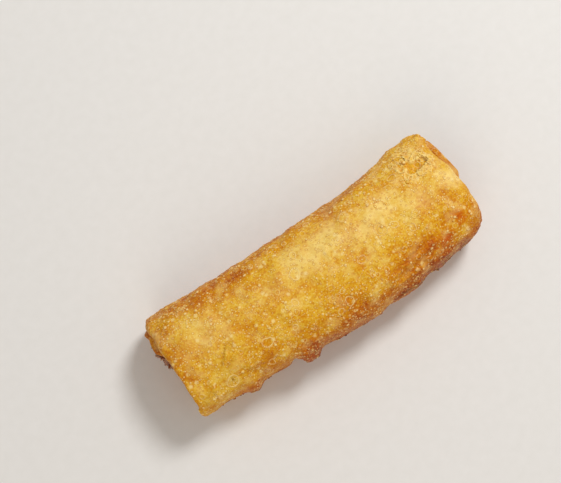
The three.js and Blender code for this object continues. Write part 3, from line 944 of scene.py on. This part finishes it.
# The shreds stick out of the core's rough front, furthest in the mouth's high half.
SHREDS = 56
SHRED_SIDES = 8
SHRED_STEPS = 9
SHRED_ROOT = 2.5
shred_points, shred_faces, shred_tones = [], [], []
for number in range(SHREDS):
    radius = random.uniform(0.35, 0.75)
    spread = math.sqrt(random.uniform(0, 1)) * 0.82
    way = random.uniform(0, 2 * math.pi)
    y0 = MOUTH["y"] + (MOUTH["wide"] - radius) * spread * math.cos(way)
    z0 = MOUTH["z"] + (MOUTH["tall"] - radius) * spread * math.sin(way)
    if number % 3 == 0:
        y0 = random.uniform(6.2, 9.6)
        z0 = MOUTH["z"] + random.uniform(0.4, 2.6)
    reach = random.uniform(0.2, 1.5) * smooth(y0, 3.5, 7.5) + random.uniform(-0.1, 0.5)
    bend_y, bend_z = random.normal(0, 0.7), random.normal(0, 0.6)
    flatness = random.uniform(0.5, 1)
    spin = random.uniform(0, math.pi)
    tone = random.uniform(0, 1)
    start = len(shred_points)
    for k in range(SHRED_STEPS):
        t = k / (SHRED_STEPS - 1)
        size = radius * (1 - 0.75 * max(0, (t - 0.8) / 0.2) ** 2) * (1 + 0.15 * math.sin(5 * t + number))
        px = front_x + SHRED_ROOT - (SHRED_ROOT + reach) * t
        py, pz = y0 + bend_y * t * t, z0 + bend_z * t * t
        for s in range(SHRED_SIDES):
            a = 2 * math.pi * s / SHRED_SIDES
            u, v = size * math.cos(a), size * flatness * math.sin(a)
            dy = u * math.cos(spin) - v * math.sin(spin)
            dz = u * math.sin(spin) + v * math.cos(spin)
            shred_points.append((px, py + dy, pz + dz))
            shred_tones.append(tone)
    for k in range(SHRED_STEPS - 1):
        for s in range(SHRED_SIDES):
            a = start + k * SHRED_SIDES + s
            b = start + k * SHRED_SIDES + (s + 1) % SHRED_SIDES
            shred_faces.append((a, a + SHRED_SIDES, b + SHRED_SIDES, b))
    shred_faces.append(tuple(start + s for s in range(SHRED_SIDES)))
    end_start = start + (SHRED_STEPS - 1) * SHRED_SIDES
    shred_faces.append(tuple(end_start + s for s in reversed(range(SHRED_SIDES))))
shreds = mesh_piece("filling_shreds", shred_points, shred_faces, {"tone": shred_tones})

material, tree, surface = new_material("cooked_filling")
place = add_node(tree, "ShaderNodeTexCoord").outputs["Object"]
grain = add_node(tree, "ShaderNodeTexNoise", (), {"Vector": place, "Scale": 900.0, "Detail": 3.0})
tone = maths(tree, "ADD", value_of(tree, "tone"), band(tree, grain.outputs[0], 0.3, 0.7, -0.15, 0.15))
ramp = add_node(tree, "ShaderNodeValToRGB", (), {"Fac": tone})
ramp.color_ramp.elements[0].position = 0.05
ramp.color_ramp.elements[0].color = linear(118, 70, 46)
ramp.color_ramp.elements[1].position = 0.95
ramp.color_ramp.elements[1].color = linear(196, 152, 104)
element = ramp.color_ramp.elements.new(0.5)
element.color = linear(158, 104, 74)
bump = add_node(
    tree, "ShaderNodeBump", (), {"Height": grain.outputs[0], "Strength": 0.4, "Distance": 0.0002}
)
tree.links.new(ramp.outputs[0], surface.inputs["Base Color"])
tree.links.new(bump.outputs[0], surface.inputs["Normal"])
surface.inputs["Roughness"].default_value = 0.37
surface.inputs["Subsurface Weight"].default_value = 0.15
surface.inputs["Subsurface Scale"].default_value = 0.001
for piece in (core, shreds):
    piece.data.materials.append(material)
    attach(piece, "root")
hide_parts("filling")


# ---- The floor ----
# A wide plain board with a matt, pale finish. The roll lies on it, and it is no part of the roll.

FLOOR_HALF = 3.0
floor_corners = [(u * FLOOR_HALF, v * FLOOR_HALF, 0) for u, v in [(-1, -1), (1, -1), (1, 1), (-1, 1)]]
floor_mesh = bpy.data.meshes.new("floor")
floor_mesh.from_pydata(floor_corners, [], [(0, 1, 2, 3)])
floor = bpy.data.objects.new("floor", floor_mesh)
bpy.context.scene.collection.objects.link(floor)
material, tree, surface = new_material("pale_floor")
place = add_node(tree, "ShaderNodeTexCoord").outputs["Object"]
grain = add_node(tree, "ShaderNodeTexNoise", (), {"Vector": place, "Scale": 300.0})
floor_colour = mix_colours(tree, grain.outputs[0], linear(232, 230, 226), linear(238, 236, 233))
tree.links.new(floor_colour, surface.inputs["Base Color"])
surface.inputs["Roughness"].default_value = 0.8
floor.data.materials.append(material)


# ---- Light and camera ----
# Soft studio light: one large key light from the right end's side, a faint fill, a pale room.

world = bpy.data.worlds.new("room")
bpy.context.scene.world = world
world.use_nodes = True
room = world.node_tree.nodes["Background"]
room.inputs["Color"].default_value = (1.0, 0.99, 0.97, 1)
room.inputs["Strength"].default_value = 0.37


def soft_light(name, azimuth, elevation, distance, size, power, warmth=0.0):
    """An area light turned to the roll. Azimuth 0 is +X and 90 is +Y."""
    data = bpy.data.lights.new(name, "AREA")
    data.shape = "DISK"
    data.size = size
    data.energy = power
    data.color = (1.0, 1.0 - 0.5 * warmth, 1.0 - warmth)
    lamp = bpy.data.objects.new(name, data)
    bpy.context.scene.collection.objects.link(lamp)
    a, e = math.radians(azimuth), math.radians(elevation)
    away = Vector((math.cos(a) * math.cos(e), math.sin(a) * math.cos(e), math.sin(e)))
    lamp.location = away * distance
    lamp.rotation_mode = "QUATERNION"
    lamp.rotation_quaternion = away.to_track_quat("Z", "Y")


soft_light("key_light", 25, 52, 0.9, 0.26, 4.60)
soft_light("fill_light", 232, 38, 1.1, 0.8, 2.6, 0.35)

# The camera looks almost straight down, at a point a little beside the roll's middle.
CAMERA_AZIMUTH = -34
CAMERA_ELEVATION = 81
CAMERA_AWAY = 0.409
camera_data = bpy.data.cameras.new("camera")
camera_data.lens = 85
camera = bpy.data.objects.new("camera", camera_data)
bpy.context.scene.collection.objects.link(camera)
a, e = math.radians(CAMERA_AZIMUTH), math.radians(CAMERA_ELEVATION)
back = Vector((math.sin(a) * math.cos(e), -math.cos(a) * math.cos(e), math.sin(e)))
right = Vector((math.cos(a), math.sin(a), 0))
up = back.cross(right)
aim = Vector((0, 0, 0.013)) - 0.01096 * right + 0.0115 * up
camera.location = aim + back * CAMERA_AWAY
camera.rotation_mode = "QUATERNION"
camera.rotation_quaternion = back.to_track_quat("Z", "Y")
bpy.context.scene.camera = camera
bpy.context.scene.view_settings.view_transform = "Standard"
